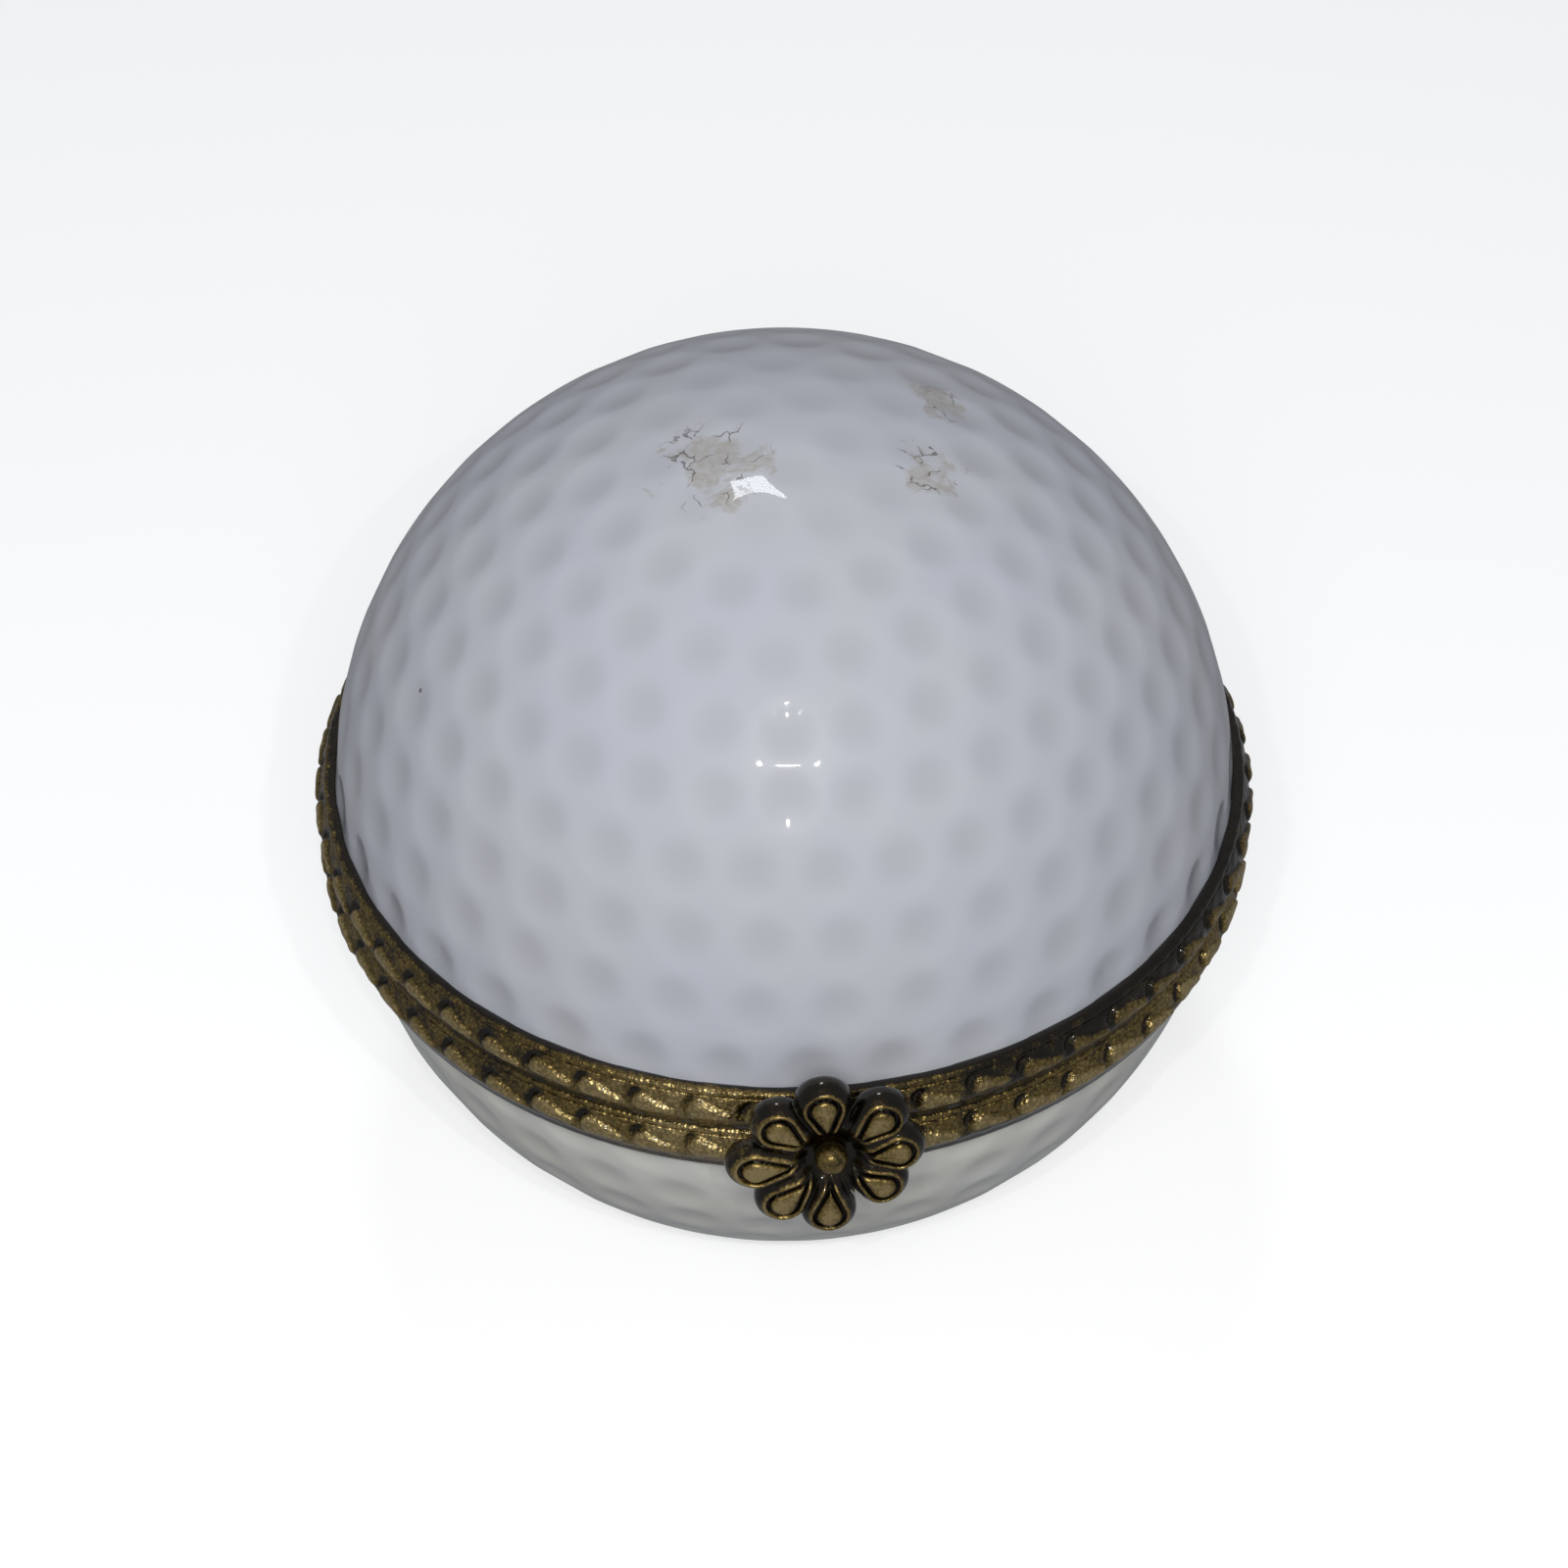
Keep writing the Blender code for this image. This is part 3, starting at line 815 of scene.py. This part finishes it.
def ridge(inside, place, width):
    """1 where inside equals place, falling away on both sides."""
    return np.exp(-(((inside - place) / width) ** 2))


def rounded(share):
    """A quarter round that rises from 0 at share 0 to 1 at share 1."""
    return np.sqrt(np.clip(1 - (1 - np.clip(share, 0, 1)) ** 2, 0, 1))


blank = 0.001
flower_profile = [(flower_radius * i / flower_rings, blank) for i in range(flower_rings + 1)]
flower_profile += [(flower_radius, blank / 2), (flower_radius, 0.0)]
flower_profile += [(flower_radius * 0.5, 0.0), (0.0, 0.0)]
blossom = turned("blossom", flower_profile, petals * 40)
points = points_of(blossom)
angles = np.round(np.arctan2(points[:, 1], points[:, 0]), 5)
reaches = {angle: outline_reach(angle) for angle in np.unique(angles)}
reach = np.array([reaches[angle] for angle in angles])
points[:, 0] *= reach / flower_radius
points[:, 1] *= reach / flower_radius
radii = np.hypot(points[:, 0], points[:, 1])
inside = np.clip(petal_field(points[:, 0], points[:, 1]), 0, None)
rounding = rounded(inside / 0.00046)
droop = 1 - 0.20 * np.clip((radii / flower_radius - 0.62) / 0.38, 0, 1) ** 2
into_cup = smooth(radii, cup_radius * 0.72, cup_radius * 1.60)
loop = ridge(inside, 0.00048, 0.00012)
groove = ridge(inside, 0.00071, 0.00008)
heart = rounded((inside - 0.00075) / 0.00050)
relief = 0.00016 * loop - 0.00018 * groove + 0.00030 * heart
front = petal_edge + (petal_body * rounding * droop + relief) * into_cup
top_side = points[:, 2] > blank * 0.9
sides = np.where(points[:, 2] > blank * 0.4, petal_edge * 0.6, points[:, 2])
points[:, 2] = np.where(top_side, front, sides)
blossom.data.vertices.foreach_set("co", points.ravel())
blossom.data.update()
shown = 0.14 + 0.58 * loop + 0.66 * heart - 0.40 * groove
shown *= 0.10 + 0.90 * smooth(radii, cup_radius, cup_radius * 1.5)
keep(blossom, np.clip(np.where(top_side, shown, 0.2), 0, 1), "relief")
wear(blossom, brass)


def lean_out(piece, up, out):
    """Sets a piece made about Z on the clasp tongue, facing out and a little up."""
    piece.rotation_euler = Euler((math.pi / 2 - clasp_tilt, 0, 0))
    piece.location = tongue_root + Vector((
        0,
        up * math.sin(clasp_tilt) - out * math.cos(clasp_tilt),
        up * math.cos(clasp_tilt) + out * math.sin(clasp_tilt),
    ))
    bpy.ops.object.select_all(action="DESELECT")
    piece.select_set(True)
    bpy.context.view_layer.objects.active = piece
    bpy.ops.object.transform_apply(location=True, rotation=True, scale=True)


flower_up = (parting + 0.0006 - tongue_root.z) / math.cos(clasp_tilt)
tongue_thickness = 0.0003
flower_back = tongue_thickness + 0.0003
lean_out(blossom, flower_up, flower_back)
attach(blossom, "clasp")
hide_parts("flower")

bead_radius = 0.00086
bead_profile = arc((0, 0.0), bead_radius, 90, -45, 24)
bead_profile += [(bead_radius * 0.62, -0.0008), (0, -0.0008)]
bead = turned("flower_bead", bead_profile, 48)
wear(bead, plain_brass)
lean_out(bead, flower_up, tongue_root.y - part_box("flower_rivet")[0].y - bead_radius)
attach(bead, "clasp")
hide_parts("flower_rivet")

collar_radius = 0.0011
collar_profile = [(0, 0.00034), (collar_radius, 0.00034), (collar_radius, -0.00004), (0, -0.00004)]
collar = turned("flower_collar", collar_profile, 32)
wear(collar, dull_brass)
lean_out(collar, flower_up, tongue_thickness)
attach(collar, "clasp")

# ---------------------------------------------------------------------------------------------
# Pale studio floor, a frontal softbox beside the camera, a ceiling window and three small
# lamps by the lens whose glints show in the glaze, and the camera looking down on the clasp.

bpy.ops.object.select_all(action="DESELECT")
bpy.ops.mesh.primitive_plane_add(size=6.0, location=(0, 0, 0))
floor = bpy.context.active_object
floor.name = "floor"
paper = Look(
    "white_paper", Roughness=0.9, Specular_IOR_Level=0.1, Emission_Color=(1, 1, 1, 1),
    Emission_Strength=0.45,
)
paper.feed(Base_Color=paper.mix(paper.noise(0.2), (0.86, 0.86, 0.86), (0.88, 0.88, 0.88)))
floor.data.materials.append(paper.material)
floor.visible_diffuse = False
floor.visible_glossy = False

view_distance = 8.0 * ball_radius
view_elevation = math.radians(44.06)
view_azimuth = math.radians(-clasp_turn)
aim = Vector((0, 0, parting))
toward_camera = Vector((
    math.sin(view_azimuth) * math.cos(view_elevation),
    -math.cos(view_azimuth) * math.cos(view_elevation),
    math.sin(view_elevation),
))


def point_at(obj, target):
    """Turns a camera or a lamp to look at a place."""
    obj.rotation_euler = (target - obj.location).to_track_quat("-Z", "Y").to_euler()


camera = bpy.data.objects.new("camera", bpy.data.cameras.new("camera"))
bpy.context.scene.collection.objects.link(camera)
camera.location = aim + toward_camera * view_distance
point_at(camera, aim)
camera.data.sensor_width = 36.0
camera.data.lens = 81.6
camera.data.clip_start = 0.01
camera.data.shift_y = 0.0009
bpy.context.scene.camera = camera


def lamp(name, place, size, power, colour=(1, 1, 1), mirrored=True):
    """A flat lamp aimed at the box; mirrored says whether gloss reflects it."""
    light = bpy.data.objects.new(name, bpy.data.lights.new(name, "AREA"))
    bpy.context.scene.collection.objects.link(light)
    light.data.shape = "RECTANGLE"
    light.data.size, light.data.size_y = size
    light.data.energy = power
    light.data.color = colour
    light.visible_glossy = mirrored
    light.location = place
    point_at(light, aim)


rightward = Vector((math.cos(view_azimuth), math.sin(view_azimuth), 0))
softbox_place = aim + toward_camera * 0.5 - rightward * 0.01
lamp("front_softbox", softbox_place, (0.24, 0.24), 0.98, mirrored=False)
lamp("window", aim + Vector((-0.045, 0.50, 0.9)), (0.17, 0.15), 0.85, (0.93, 0.97, 1.0))
lens_place = aim + toward_camera * 0.22 + rightward * 0.004 + Vector((0, 0, 0.017))
lens_lamp_gap = 0.026
for step in (-1, 0, 1):
    place = lens_place + rightward * lens_lamp_gap * step
    lamp(f"lens_lamp_{step + 2}", place, (0.0030, 0.0024), 0.034)

world = bpy.data.worlds.new("room")
world.use_nodes = True
world.node_tree.nodes["Background"].inputs["Color"].default_value = (0.50, 0.51, 0.54, 1.0)
world.node_tree.nodes["Background"].inputs["Strength"].default_value = 0.42
bpy.context.scene.world = world
bpy.context.scene.view_settings.view_transform = "Standard"
